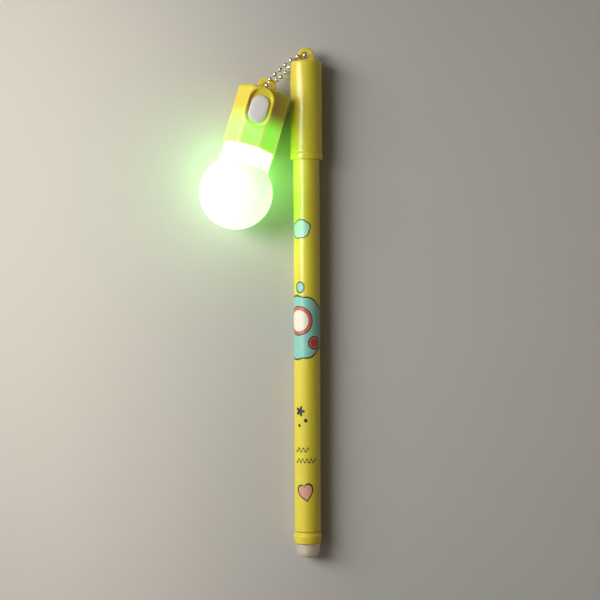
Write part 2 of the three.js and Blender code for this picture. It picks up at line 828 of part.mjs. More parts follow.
// Hollow ball with a hole towards each neighbour
function makeBead(previous, middle, next) {
  const outside = new THREE.SphereGeometry(beadRadius, 8, 6);
  const inside = new THREE.SphereGeometry(beadRadius - beadWall, 7, 5);
  const still = new THREE.Vector3();
  const holes = [previous, next].map((other) => (
    aimed(rod(beadHole, 0, 2 * beadRadius, 6), still, directionTo(middle, other))
  ));
  return cut(outside, inside, ...holes);
}

// Dumbbell whose heads are caught in two neighbouring beads
function makeLink(from, to) {
  const length = from.distanceTo(to);
  const near = linkHeadFromCentre;
  const far = length - linkHeadFromCentre;
  const neck = THREE.MathUtils.radToDeg(Math.asin(linkRadius / linkHeadRadius));
  const outline = [
    ...arc(0, near, linkHeadRadius, -90, 90 - neck, 3),
    ...arc(0, far, linkHeadRadius, neck - 90, 90, 3),
  ];
  return aimed(turned(outline, 6), new THREE.Vector3(), directionTo(from, to));
}

// Sheet clasp that holds the chain's two end beads, open along one side, with a keyhole at each end
function makeClasp(from, to) {
  const reach = beadRadius + chainGap / 2;
  const outerEnd = reach + claspWall;
  const length = from.distanceTo(to);
  const keyhole = linkHeadRadius + runningGap;
  const tube = rod(claspBore + claspWall, -outerEnd, length + outerEnd, smallSides);
  const hollow = rod(claspBore, -reach, length + reach, smallSides);
  const through = rod(keyhole, -2 * outerEnd, length + 2 * outerEnd, 8);
  const slot = block(claspSlot, length + 4 * outerEnd, 2 * claspBore, 0, length / 2, claspBore);
  const sheet = cut(tube, hollow, through, slot);
  return aimed(sheet, new THREE.Vector3(), directionTo(from, to));
}

function makeChain(eyelet, loop) {
  const route = chainRoute(eyelet, loop);
  const count = Math.round(route.getLength() / beadPitch);
  const places = Array.from({ length: count }, (_, i) => route.getPointAt(i / count).sub(eyelet));
  const place = (i) => places[(i + count) % count];
  const claspAfter = Math.round(claspPlace * count);
  const chain = new THREE.Group();
  chain.name = 'chain_group';
  chain.position.copy(eyelet);
  for (let i = 0; i < count; i += 1) {
    const label = String(i + 1).padStart(2, '0');
    const bead = piece(`bead_${label}`, makeBead(place(i - 1), place(i), place(i + 1)), 'steel');
    bead.position.copy(place(i));
    const isClasp = i === claspAfter;
    const span = isClasp ? makeClasp(place(i), place(i + 1)) : makeLink(place(i), place(i + 1));
    const joiner = piece(isClasp ? 'chain_clasp' : `link_${label}`, span, 'steel');
    joiner.position.copy(place(i));
    chain.add(bead, joiner);
  }
  return chain;
}

const pen = makePen();
const eyelet = pen.localToWorld(new THREE.Vector3(0, eyeletY, 0));
const lamp = makeLamp(eyelet);
const loop = lamp.children[0].localToWorld(new THREE.Vector3(0, loopY, 0));

const object = new THREE.Group();
object.name = 'light_pen';
object.add(pen, lamp, makeChain(eyelet, loop));

// The origin lies under the middle of the whole object
object.updateMatrixWorld(true);
const bounds = new THREE.Box3().setFromObject(object, true);
const middle = bounds.getCenter(new THREE.Vector3());
object.position.set(-middle.x, -middle.y, -bounds.min.z);
object.updateMatrixWorld(true);

export default object;
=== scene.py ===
# A capped gel pen with an eraser tail, and a small lit lamp on a ball chain from the cap's eyelet.
# Shapes are made in millimetres along the pen's or the lamp's own axis, then carried into place.

import json
import math

import bmesh
import bpy
from mathutils import Matrix, Vector


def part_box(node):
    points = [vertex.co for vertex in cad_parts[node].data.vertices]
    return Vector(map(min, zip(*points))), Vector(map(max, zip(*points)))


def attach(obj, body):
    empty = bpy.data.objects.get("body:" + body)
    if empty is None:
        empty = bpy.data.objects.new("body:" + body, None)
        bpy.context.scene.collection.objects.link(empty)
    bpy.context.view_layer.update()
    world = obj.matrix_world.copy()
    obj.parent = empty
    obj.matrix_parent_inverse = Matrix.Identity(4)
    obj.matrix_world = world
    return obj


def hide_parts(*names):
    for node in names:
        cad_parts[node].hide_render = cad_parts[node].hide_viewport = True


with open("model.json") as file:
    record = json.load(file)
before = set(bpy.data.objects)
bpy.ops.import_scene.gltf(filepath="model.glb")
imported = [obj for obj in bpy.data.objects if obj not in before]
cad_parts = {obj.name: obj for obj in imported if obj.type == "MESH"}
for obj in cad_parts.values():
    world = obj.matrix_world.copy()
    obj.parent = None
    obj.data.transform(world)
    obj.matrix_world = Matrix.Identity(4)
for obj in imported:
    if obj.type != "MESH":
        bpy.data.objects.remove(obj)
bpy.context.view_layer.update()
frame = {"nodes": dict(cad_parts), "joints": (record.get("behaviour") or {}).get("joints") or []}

MM = 0.001
UP = Vector((0, 0, 1))

# Values that all shapes share
SEAT_GAP = 0.2
SHARP_FROM = math.radians(32)
ROUNDING_STEPS = 5
ROUND_SIDES = 96
WELD = 1e-4
FINE_WELD = 1e-5

# Cap, from its mouth at y = 0 on the pen
CAP_LENGTH = 32.1
CAP_RADIUS = 5.15
CAP_BORE = 4.42
CAP_TOP_WALL = 1.2
MOUTH_FLARE_LENGTH = 1.0
LIP_RADIUS = 5.25
LIP_LENGTH = 2.0
EYELET_Y = 33.8
EYELET_RADIUS = 2.6
EYELET_HOLE = 1.15
EYELET_ROOT = 1.0
TAB_THICKNESS = 1.8
TAB_ROUNDING = 0.35
TAB_HOLE_ROOM = 0.3
LOOP_RADIUS = 2.95
LOOP_HOLE = 1.2
LOOP_ROOT = 1.7

# Barrel, nose and tail
BARREL_FRONT = 12.5
BARREL_BACK = -120.5
BARREL_RADIUS = 4.25
BARREL_BORE = 3.35
NECK_RADIUS = 3.75
NECK_LENGTH = 8.0
SNAP_RING_Y = 7.0
SNAP_RING_RADIUS = 4.34
SNAP_RING_LENGTH = 0.8
SEAM_Y = BARREL_BACK + 0.8
SEAM_HALF_WIDTH = 0.1
SEAM_DEPTH = 0.06
NOSE_FRONT = 25.8
NOSE_BORE = 3.15
NOSE_COLLAR = 1.6
NOSE_TIP_RADIUS = 1.75
NOSE_TIP_BORE = 1.4
HOLDER_TIP = 24.05
NIB_END = 28.05
NIB_RADIUS = 1.05
NIB_STRAIGHT = 1.9
NIB_RIM = 0.42
NIB_SHANK_RADIUS = 0.7
NIB_SHANK_LENGTH = 4.2
NIB_BALL_RADIUS = 0.35
REFILL_FRONT = 15.05
RING_FRONT = -120.7
RING_BACK = -124.5
RING_RADIUS = 4.2
RIDGE_Y = -121.8
RIDGE_RADIUS = 4.55
PLUG_SPIGOT_FRONT = -113.2
PLUG_STEM_FRONT = -102.15
PLUG_STEM_RADIUS = 1.5
PEG_BACK = -127.5
PEG_RADIUS = 2.2
ERASER_FRONT = -124.7
ERASER_BACK = -129.1
ERASER_RADIUS = 4.05
ERASER_END_WALL = 1.2

# Lamp, from the middle of its globe at y = 0 to its loop
GLOBE_RADIUS = 11.75
GLOBE_WALL = 1.0
NECK_OUTSIDE = 8.15
HOUSING_FRONT = 14.6
HOUSING_END = 34.55
HOUSING_CROWN = 0.6
HOUSING_SHOULDER = 1.2
HOUSING_FLAT = 8.5
HOUSING_CORNER = 0.7
HOUSING_SIDES = 8
HOUSING_BORE = 7.1
HOUSING_BORE_END = 32.2
SPIGOT_RADIUS = 6.96
SPIGOT_END = 18.6
SPIGOT_WALL = 1.0
LOOP_Y = 36.1
FRAME_Y = 26.87
FRAME_SIZE = (8.75, 13.5)
FRAME_TOP = 9.4
FRAME_FOOT = 7.6
RECESS_SIZE = (7.35, 12.1)
RECESS_FLOOR = 8.3
RECESS_COVE = 0.35
RECESS_SPLAY = 0.12
THUMB_RAMP_GAP = 0.2
THUMB_RAMP_RISE = 0.9
BUTTON_Y = 26.4
BUTTON_SIZE = (5.9, 8.9)
BUTTON_TOP = 9.25
BUTTON_FOOT = 5.25
BUTTON_FIT = 0.15
BUTTON_FLANGE = 0.62
BUTTON_FLANGE_HEIGHT = 0.7
DIODE_BASE = 17.0
DIODE_LENGTH = 8.6
DIODE_RADIUS = 2.5
DIODE_FLANGE_RADIUS = 2.9
DIODE_FLANGE_LENGTH = 1.0
DIODE_LEAD_SIZE = 0.5
DIODE_LEAD_LENGTH = 2.3
DIODE_LEAD_PLACE = (1.27, DIODE_BASE + 0.95, 0.75)

# Ball chain
BEAD_RADIUS = 0.75
BEAD_WALL = 0.11
BEAD_HOLE = 0.16
LINK_RADIUS = 0.11
LINK_HEAD = 0.2
LINK_HEAD_PLACE = 0.27
BEADS = ["bead_%02d" % number for number in range(1, 18)]
CLASP_AFTER = 13
CLASP_BORE = 0.83
CLASP_WALL = 0.13
CLASP_REACH = 0.825
CLASP_SLOT = 0.6
CLASP_HOLE = 0.3


# Places
def joint(name):
    return next(row for row in frame["joints"] if row["name"] == name)


def set_along(origin, along, towards):
    """Carries millimetres on a piece, Y along it and Z towards a side, to metres in the shared frame"""
    across = along.cross(towards).normalized()
    top = across.cross(along).normalized()
    turn = Matrix((across, along.normalized(), top)).transposed().to_4x4()
    return Matrix.Translation(origin) @ turn @ Matrix.Scale(MM, 4)


pen_axis = Vector(joint("cap_pull")["axis"]).normalized()
eyelet = Vector(joint("chain_swing")["pos_m"])
lamp_axis = -Vector(joint("globe_pull")["axis"]).normalized()
lamp_up = -Vector(joint("button_press")["axis"]).normalized()
loop = Vector(joint("lamp_swing")["pos_m"])
ON_PEN = set_along(eyelet - pen_axis * EYELET_Y * MM, pen_axis, UP)
ON_LAMP = set_along(loop - lamp_axis * LOOP_Y * MM, lamp_axis, lamp_up)


# Mesh making
def slid(shape, way):
    bmesh.ops.translate(shape, verts=shape.verts[:], vec=way)
    return shape


def swung(shape, turn):
    """Turns a shape about its own origin by a rotation matrix"""
    bmesh.ops.rotate(shape, verts=shape.verts[:], cent=(0, 0, 0), matrix=turn)
    return shape


def rounded(shape, corners, offset, kind="EDGES", steps=ROUNDING_STEPS):
    """Rounds edges, or with "VERTICES" the corners of an outline"""
    bmesh.ops.bevel(
        shape, geom=corners, offset=offset, offset_type="OFFSET", segments=steps, profile=0.5,
        affect=kind, material=-1,
    )


def turned(outline, sides=ROUND_SIDES, hollow=False):
    """Shape turned about Y from its outline of (radius, y) or (radius, y, rounding) points"""
    shape = bmesh.new()
    line = [shape.verts.new((point[0], point[1], 0)) for point in outline]
    pairs = list(zip(line, line[1:]))
    if hollow:
        pairs.append((line[-1], line[0]))
    for pair in pairs:
        shape.edges.new(pair)
    for corner, point in zip(line, outline):
        if len(point) > 2:
            rounded(shape, [corner], point[2], "VERTICES")
    bmesh.ops.spin(
        shape, geom=shape.verts[:] + shape.edges[:], cent=(0, 0, 0), axis=(0, 1, 0), dvec=(0, 0, 0),
        angle=2 * math.pi, steps=sides, use_merge=True, use_duplicate=False,
    )
    bmesh.ops.remove_doubles(shape, verts=shape.verts[:], dist=FINE_WELD)
    bmesh.ops.recalc_face_normals(shape, faces=shape.faces[:])
    return shape


def upright(shape, middle_y=0.0, stretch=0.0):
    """Stands a turned shape up along Z, and pulls its two halves apart along Y into a stadium"""
    swung(shape, Matrix.Rotation(math.pi / 2, 3, "X"))
    for corner in shape.verts:
        if abs(corner.co.y) > WELD:
            corner.co.y += math.copysign(stretch / 2, corner.co.y)
    return slid(shape, (0, middle_y, 0))


def stadium(size, outline, middle_y):
    """Stadium of (width, length) from (inset, z) points, closed at its middle"""
    width, length = size
    points = [(width / 2 - point[0], *point[1:]) for point in outline]
    bottom, top = points[0][1], points[-1][1]
    shape = turned([(0, bottom), *points, (0, top)])
    swung(shape, Matrix.Rotation(math.pi / ROUND_SIDES, 3, "Y"))
    return upright(shape, middle_y, length - width)


def block(size, middle):
    """Box of a size about its middle"""
    shape = bmesh.new()
    bmesh.ops.create_cube(shape, size=1)
    bmesh.ops.scale(shape, vec=size, verts=shape.verts[:])
    return slid(shape, middle)


def ball(radius, segments, rings):
    shape = bmesh.new()
    bmesh.ops.create_uvsphere(shape, u_segments=segments, v_segments=rings, radius=radius)
    return shape


def ball_points(radius, start, end, steps, middle_y=0.0):
    """Outline of a ball from one angle to another, -90 at its far pole, in degrees"""
    angles = [math.radians(start + (end - start) * step / steps) for step in range(steps + 1)]
    return [(radius * math.cos(angle), middle_y + radius * math.sin(angle)) for angle in angles]


def aimed(shape, direction):
    """Turns a shape made along +Y to run along a direction"""
    return swung(shape, Vector((0, 1, 0)).rotation_difference(direction).to_matrix())


def sliced(shape, point, normal):
    """Adds the edges where a plane through a point cuts the shape"""
    everything = shape.verts[:] + shape.edges[:] + shape.faces[:]
    bmesh.ops.bisect_plane(shape, geom=everything, dist=1e-6, plane_co=point, plane_no=normal)


def add_to(whole, part, middle=(0, 0, 0)):
    """Adds a part, moved to its middle, to a shape of many parts"""
    mesh = bpy.data.meshes.new("part")
    slid(part, middle).to_mesh(mesh)
    part.free()
    whole.from_mesh(mesh)
    bpy.data.meshes.remove(mesh)


def plain_object(shape, name="blank"):
    """Object without a finish or a body, made of a shape that it uses up"""
    mesh = bpy.data.meshes.new(name)
    shape.to_mesh(mesh)
    shape.free()
    made = bpy.data.objects.new(name, mesh)
    bpy.context.scene.collection.objects.link(made)
    return made


def worked(base, *steps):
    """Base shape after ("UNION" or "DIFFERENCE" or "INTERSECT", shape) steps"""
    body = plain_object(base)
    cutters = []
    for operation, shape in steps:
        cutters.append(plain_object(shape))
        cut = body.modifiers.new("cut", "BOOLEAN")
        cut.operation = operation
        cut.solver = "EXACT"
        cut.object = cutters[-1]
    bpy.context.view_layer.update()
    seen = body.evaluated_get(bpy.context.evaluated_depsgraph_get())
    result = bmesh.new()
    result.from_mesh(seen.to_mesh())
    seen.to_mesh_clear()
    for spent in (body, *cutters):
        mesh = spent.data
        bpy.data.objects.remove(spent)
        bpy.data.meshes.remove(mesh)
    bmesh.ops.remove_doubles(result, verts=result.verts[:], dist=WELD)
    return result


def finished(name, shape, place, body, materials, nodes=()):
    """Puts a finished shape on its body, with smooth faces and sharp creases"""
    for face in shape.faces:
        face.smooth = True
    for edge in shape.edges:
        edge.smooth = len(edge.link_faces) == 2 and edge.calc_face_angle(math.pi) < SHARP_FROM
    shape.transform(place)
    made = plain_object(shape, name)
    for material in materials if isinstance(materials, list) else [materials]:
        made.data.materials.append(material)
    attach(made, body)
    if nodes:
        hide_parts(*nodes)
    return made


# Materials
YELLOWS = ((0.74, 0.61, 0.009), (0.77, 0.64, 0.012))
YELLOW_ROUGHNESS = (0.58, 0.66)
YELLOW_GLOSS = {
    "IOR": 1.5,
    "Specular_IOR_Level": 0.9,
    "Coat_Weight": 0.7,
    "Coat_Roughness": 0.12,
    "Subsurface_Weight": 0.6,
    "Subsurface_Radius": (1.0, 0.5, 0.02),
    "Subsurface_Scale": 0.0022,
}
BUMP_DEPTH = 0.00005
BUMP_GRAIN = 4000

# Painted light in the housing: the globe's green light, which seeps into the housing, painted into its
# colour and as a glow, by the distance from the globe's middle
PAINTED_GREEN_LIGHT_YELLOW = (0.46, 0.60, 0.22)
PAINTED_SEEPING_GLOW = (0.20, 0.78, 0.03)
# Painted highlight along the housing's long corners, within the painted glow
PAINTED_CORNER_HIGHLIGHT = (0.38, 0.60, 0.10)
CORNER_HIGHLIGHT_SPREAD = (math.radians(16), math.radians(21))
GLOW_FULL_TO = 20.0
GLOW_NONE_FROM = 27.5

# Light of the globe: its lower side lights the ground, its upper side is what the eye sees
GLOBE_WHITE = (0.78, 0.80, 0.77)
GLOBE_ROUGHNESS = (0.42, 0.58)
GLOBE_GRAIN = 1500
UPPER_FROM = -5.0
UPPER_FULL = 3.0
BELOW_GLOBE = (0.75, 1.5, 0.65)
BELOW_NECK = (0.8, 3.0, 0.5)
ABOVE_STRENGTH = 4.5
ABOVE_POLE = (0.18, 1.0, 0.16)
ABOVE_NECK = (0.22, 0.90, 0.19)
ABOVE_STEPS = (
    (0.45, (0.165, 0.90, 0.145)),
    (0.70, (0.14, 0.50, 0.11)),
    (0.765, (0.13, 0.45, 0.10)),
    (0.785, (0.21, 0.80, 0.19)),
)


def feed(tree, socket, value):
    """Gives a socket a number, a colour of three numbers or the output of another node"""
    if isinstance(value, bpy.types.NodeSocket):
        tree.links.new(value, socket)
    elif isinstance(value, tuple):
        socket.default_value = (*value, 1)
    else:
        socket.default_value = value


def math_of(tree, operation, *values):
    node = tree.nodes.new("ShaderNodeMath")
    node.operation = operation
    for place, value in enumerate(values):
        feed(tree, node.inputs[place], value)
    return node.outputs["Value"]


def mixed(tree, share, first, second, blend="MIX"):
    node = tree.nodes.new("ShaderNodeMix")
    node.data_type = "RGBA"
    node.blend_type = blend
    for socket, value in (("Factor", share), ("A", first), ("B", second)):
        feed(tree, node.inputs[socket], value)
    return node.outputs["Result"]


def ranged(tree, value, near, far, low=0.0, high=1.0, shape="LINEAR"):
    """Value from near to far carried to low to high, and held beyond"""
    node = tree.nodes.new("ShaderNodeMapRange")
    node.interpolation_type = shape
    for socket, number in (("From Min", near), ("From Max", far), ("To Min", low), ("To Max", high)):
        node.inputs[socket].default_value = number
    feed(tree, node.inputs["Value"], value)
    return node.outputs["Result"]


def noise(tree, where, grain, detail):
    node = tree.nodes.new("ShaderNodeTexNoise")
    node.inputs["Scale"].default_value = grain
    node.inputs["Detail"].default_value = detail
    feed(tree, node.inputs["Vector"], where)
    return node.outputs["Fac"]


def place_of(tree, kind="Object"):
    return tree.nodes.new("ShaderNodeTexCoord").outputs[kind]


def x_of(tree, where):
    node = tree.nodes.new("ShaderNodeSeparateXYZ")
    feed(tree, node.inputs["Vector"], where)
    return node.outputs["X"]


def blank_material(name):
    """New material with its tree and its shader's sockets"""
    made = bpy.data.materials.new(name)
    made.use_nodes = True
    return made, made.node_tree, made.node_tree.nodes["Principled BSDF"].inputs


def mottled(name, colors, roughness, grain=900.0, bump=0.0, tint=None, **sockets):
    """Finish whose colour drifts between two tones, with uneven gloss and a fine surface grain

    A tint takes the tree and the drifting colour and gives the colour that shows."""
    made, tree, shader = blank_material(name)
    where = place_of(tree)
    cloud = noise(tree, where, grain, 4)
    tone = mixed(tree, cloud, *colors)
    feed(tree, shader["Base Color"], tint(tree, tone) if tint else tone)
    feed(tree, shader["Roughness"], ranged(tree, cloud, 0, 1, *roughness))
    if bump:
        relief = tree.nodes.new("ShaderNodeBump")
        relief.inputs["Strength"].default_value = bump
        relief.inputs["Distance"].default_value = BUMP_DEPTH
        feed(tree, relief.inputs["Height"], noise(tree, where, BUMP_GRAIN, 3))
        feed(tree, shader["Normal"], relief.outputs["Normal"])
    for socket, value in sockets.items():
        shader[socket.replace("_", " ")].default_value = value
    return made


def lamp_distance(tree, direction):
    """Distance from the globe's middle along a direction, in metres"""
    shifted = tree.nodes.new("ShaderNodeVectorMath")
    shifted.operation = "SUBTRACT"
    shifted.inputs[1].default_value = ON_LAMP.translation
    feed(tree, shifted.inputs[0], place_of(tree))
    along = tree.nodes.new("ShaderNodeVectorMath")
    along.operation = "DOT_PRODUCT"
    along.inputs[1].default_value = direction
    feed(tree, along.inputs[0], shifted.outputs["Vector"])
    return along.outputs["Value"]


def unlit_share(tree):
    """0 where the housing glows in full, near the globe, to 1 where it doesn't"""
    along = lamp_distance(tree, lamp_axis)
    return ranged(tree, along, GLOW_FULL_TO * MM, GLOW_NONE_FROM * MM, shape="SMOOTHSTEP")


def corner_highlight_share(tree):
    """1 along the housing's long corners, where its wall is thick and a painted highlight brightens the
    glow, falling to 0 on its flats
    """
    across = lamp_distance(tree, lamp_axis.cross(lamp_up))
    turn = math_of(tree, "ARCTAN2", across, lamp_distance(tree, lamp_up))
    fold = math_of(tree, "PINGPONG", turn, math.pi / HOUSING_SIDES)
    return ranged(tree, fold, *CORNER_HIGHLIGHT_SPREAD, shape="SMOOTHSTEP")


def painted_glow_housing_plastic():
    """The yellow plastic with painted light: greener and with a painted glow towards the lit neck, where
    light seeps into the wall
    """
    # Painted green light: the colour turns greener near the globe
    made = mottled(
        "lamp_yellow_plastic_painted_glow", YELLOWS, YELLOW_ROUGHNESS, bump=0.05,
        tint=lambda tree, tone: mixed(tree, unlit_share(tree), PAINTED_GREEN_LIGHT_YELLOW, tone), **YELLOW_GLOSS,
    )
    tree = made.node_tree
    shader = tree.nodes["Principled BSDF"].inputs
    # Painted glow: the housing is no lamp, and its emission stands in for the globe's light in the wall
    feed(tree, shader["Emission Strength"], math_of(tree, "SUBTRACT", 1.0, unlit_share(tree)))
    feed(tree, shader["Emission Color"], mixed(tree, corner_highlight_share(tree), PAINTED_SEEPING_GLOW, PAINTED_CORNER_HIGHLIGHT))
    return made


def lit_globe_plastic():
    """Frosted white moulding lit from inside, with a green light that spreads over the ground"""
    made, tree, shader = blank_material("frosted_globe_plastic")
    feed(tree, shader["Base Color"], GLOBE_WHITE)
    cloud = noise(tree, place_of(tree), GLOBE_GRAIN, 3)
    feed(tree, shader["Roughness"], ranged(tree, cloud, 0, 1, *GLOBE_ROUGHNESS))
    along = ranged(tree, lamp_distance(tree, lamp_axis), -GLOBE_RADIUS * MM, HOUSING_FRONT * MM)
    above = tree.nodes.new("ShaderNodeValToRGB")
    ends = above.color_ramp.elements
    ends[0].color = (*ABOVE_POLE, 1)
    ends[1].color = (*ABOVE_NECK, 1)
    for position, color in ABOVE_STEPS:
        ends.new(position).color = (*color, 1)
    feed(tree, above.inputs["Fac"], along)
    below = mixed(tree, along, BELOW_GLOBE, BELOW_NECK)
    rise = lamp_distance(tree, lamp_up)
    upper = ranged(tree, rise, UPPER_FROM * MM, UPPER_FULL * MM, shape="SMOOTHSTEP")
    feed(tree, shader["Emission Color"], mixed(tree, upper, below, above.outputs["Color"]))
    feed(tree, shader["Emission Strength"], ranged(tree, upper, 0, 1, 1, ABOVE_STRENGTH))
    return made


yellow_plastic = mottled("yellow_plastic", YELLOWS, YELLOW_ROUGHNESS, bump=0.04, **YELLOW_GLOSS)
housing_plastic = painted_glow_housing_plastic()
button_plastic = mottled(
    "grey_button_plastic", ((0.74, 0.72, 0.705), (0.78, 0.76, 0.745)), (0.42, 0.52), bump=0.12,
)
globe_plastic = lit_globe_plastic()
eraser_rubber = mottled(
    "frosted_eraser_rubber", ((0.95, 0.88, 0.79), (0.98, 0.92, 0.83)), (0.38, 0.5), grain=1500,
    bump=0.1, Transmission_Weight=0.6, IOR=1.42,
)
chain_steel = mottled(
    "nickel_plated_steel", ((0.80, 0.79, 0.77), (0.86, 0.85, 0.83)), (0.07, 0.14), grain=2500,
    bump=0.05, Metallic=1.0,
)
bright_steel = mottled(
    "bright_steel", ((0.60, 0.60, 0.61), (0.68, 0.68, 0.68)), (0.18, 0.3), grain=1800, Metallic=1.0,
)
contact_brass = mottled(
    "contact_brass", ((0.66, 0.48, 0.20), (0.72, 0.54, 0.26)), (0.22, 0.34), grain=1800, Metallic=1.0,
)
clear_plastic = mottled(
    "clear_plastic", ((0.86, 0.89, 0.89), (0.9, 0.92, 0.92)), (0.06, 0.14), Transmission_Weight=0.9,
    IOR=1.46,
)
diode_epoxy = mottled(
    "diode_epoxy", ((0.80, 0.92, 0.82), (0.86, 0.95, 0.86)), (0.05, 0.12), Transmission_Weight=0.5,
    IOR=1.5, Emission_Color=(0.5, 1.0, 0.48, 1), Emission_Strength=1.5,
)
black_plastic = mottled(
    "black_plastic", ((0.012, 0.012, 0.014), (0.03, 0.03, 0.033)), (0.4, 0.55), bump=0.15,
)
blue_ink = mottled("blue_ink", ((0.01, 0.018, 0.2), (0.016, 0.03, 0.26)), (0.12, 0.2))
pale_grease = mottled("pale_grease", ((0.78, 0.72, 0.5), (0.84, 0.78, 0.58)), (0.25, 0.4), bump=0.1)
seal_rubber = mottled("seal_rubber", ((0.2, 0.21, 0.22), (0.27, 0.28, 0.29)), (0.6, 0.8), bump=0.2)
board_mask = mottled(
    "green_board_mask", ((0.012, 0.12, 0.04), (0.02, 0.17, 0.06)), (0.3, 0.45), grain=2200,
)


def printed_ink(name, first, second, grain=500):
    return mottled(name, (first, second), (0.28, 0.38), grain=grain)


print_dark = mottled("dark_print", ((0.018, 0.014, 0.012), (0.032, 0.024, 0.02)), (0.3, 0.4))
print_pale = printed_ink("pale_print", (0.40, 0.70, 0.62), (0.46, 0.76, 0.68))
print_teal = printed_ink("teal_print", (0.21, 0.52, 0.45), (0.27, 0.60, 0.53))
print_coral = printed_ink("coral_print", (0.52, 0.12, 0.07), (0.60, 0.17, 0.10))
print_red = printed_ink("red_print", (0.50, 0.02, 0.02), (0.60, 0.04, 0.03))
print_cream = printed_ink("cream_print", (0.78, 0.72, 0.60), (0.84, 0.78, 0.66))
print_pink = printed_ink("pink_print", (0.62, 0.30, 0.22), (0.70, 0.36, 0.28), grain=900)


# Cap and pen
def tab_ring(radius, hole, middle_y):
    """Flat ring round Z with rounded rims"""
    half = TAB_THICKNESS / 2
    rims = ((hole, -half), (radius, -half), (radius, half), (hole, half))
    return upright(turned([(*rim, TAB_ROUNDING) for rim in rims], sides=64, hollow=True), middle_y)


def tab_foot(radius, hole, middle_y, root_y):
    """Foot of a tab, from its carrier to its ring, with the ring's hole left open"""
    length = middle_y - root_y
    foot = block((2 * radius - 0.1, length, TAB_THICKNESS), (0, root_y + length / 2, 0))
    long_edges = [
        edge for edge in foot.edges
        if abs(edge.verts[0].co.y - edge.verts[1].co.y) > length / 2
    ]
    rounded(foot, long_edges, TAB_ROUNDING, steps=4)
    open_to = hole + TAB_HOLE_ROOM
    hole_rod = upright(turned([(0, -2), (open_to, -2), (open_to, 2), (0, 2)], 48), middle_y)
    return worked(foot, ("DIFFERENCE", hole_rod))


def make_cap():
    shell = turned([
        (0, CAP_LENGTH),
        (CAP_RADIUS - 1.9, CAP_LENGTH - 0.05, 0.8),
        (CAP_RADIUS - 0.03, CAP_LENGTH - 0.3, 0.75),
        (CAP_RADIUS, LIP_LENGTH + 0.3, 0.08),
        (CAP_RADIUS - 0.12, LIP_LENGTH + 0.12, 0.05),
        (LIP_RADIUS, LIP_LENGTH, 0.08),
        (LIP_RADIUS, 0, 0.22),
        (CAP_BORE + 0.02, 0, 0.15),
        (CAP_BORE, MOUTH_FLARE_LENGTH, 0.3),
        (CAP_BORE, CAP_LENGTH - CAP_TOP_WALL, 0.3),
        (0, CAP_LENGTH - CAP_TOP_WALL),
    ])
    body = worked(
        shell,
        ("UNION", tab_foot(EYELET_RADIUS, EYELET_HOLE, EYELET_Y, CAP_LENGTH - EYELET_ROOT)),
        ("UNION", tab_ring(EYELET_RADIUS, EYELET_HOLE, EYELET_Y)),
    )
    finished("cap_shell", body, ON_PEN, "cap", yellow_plastic, ["cap"])


def make_barrel():
    tube = turned([
        (BARREL_BORE, BARREL_BACK),
        (BARREL_RADIUS, BARREL_BACK, 0.15),
        (BARREL_RADIUS, SEAM_Y - SEAM_HALF_WIDTH, 0.05),
        (BARREL_RADIUS - SEAM_DEPTH, SEAM_Y, 0.03),
        (BARREL_RADIUS, SEAM_Y + SEAM_HALF_WIDTH, 0.05),
        (BARREL_RADIUS, SNAP_RING_Y - SNAP_RING_LENGTH, 0.3),
        (SNAP_RING_RADIUS, SNAP_RING_Y, 0.3),
        (BARREL_RADIUS, SNAP_RING_Y + SNAP_RING_LENGTH, 0.3),
        (BARREL_RADIUS, BARREL_FRONT, 0.25),
        (NECK_RADIUS, BARREL_FRONT, 0.08),
        (NECK_RADIUS, BARREL_FRONT - NECK_LENGTH),
        (BARREL_BORE, BARREL_FRONT - NECK_LENGTH),
    ], sides=128, hollow=True)
    finished("barrel_tube", tube, ON_PEN, "pen", yellow_plastic, ["barrel"])


def make_nose():
    neck_back = BARREL_FRONT - NECK_LENGTH + SEAT_GAP
    collar = BARREL_FRONT + SEAT_GAP
    waist = (collar + NOSE_COLLAR + NOSE_FRONT) / 2
    cone = turned([
        (NOSE_BORE, neck_back),
        (NECK_RADIUS - 0.1, neck_back, 0.2),
        (NECK_RADIUS - 0.1, collar),
        (BARREL_RADIUS - 0.2, collar, 0.12),
        (BARREL_RADIUS - 0.2, collar + NOSE_COLLAR, 0.4),
        (3.35, waist, 2.5),
        (NOSE_TIP_RADIUS, NOSE_FRONT, 0.3),
        (NOSE_TIP_BORE, NOSE_FRONT, 0.1),
        (NOSE_TIP_BORE, HOLDER_TIP),
        (NOSE_BORE, REFILL_FRONT + 1.2),
    ], hollow=True)
    finished("nose_shell", cone, ON_PEN, "pen", yellow_plastic, ["nose_cone"])


def make_nib():
    shoulder = HOLDER_TIP + SEAT_GAP
    tip = turned([
        (0, shoulder - NIB_SHANK_LENGTH),
        (NIB_SHANK_RADIUS, shoulder - NIB_SHANK_LENGTH, 0.1),
        (NIB_SHANK_RADIUS, shoulder),
        (NIB_RADIUS, shoulder, 0.08),
        (NIB_RADIUS, shoulder + NIB_STRAIGHT, 0.3),
        (NIB_RIM + 0.06, NIB_END - 0.33, 0.05),
        (NIB_RIM, NIB_END - 0.29),
        (NIB_RIM, NIB_END - 0.52),
        (0, NIB_END - 0.82),
    ], sides=48)
    finished("nib_point", tip, ON_PEN, "pen", bright_steel, ["nib"])
    tip_ball = slid(ball(NIB_BALL_RADIUS, 24, 16), (0, NIB_END - NIB_BALL_RADIUS, 0))
    finished("nib_writing_ball", tip_ball, ON_PEN, "pen", bright_steel, ["nib_ball"])


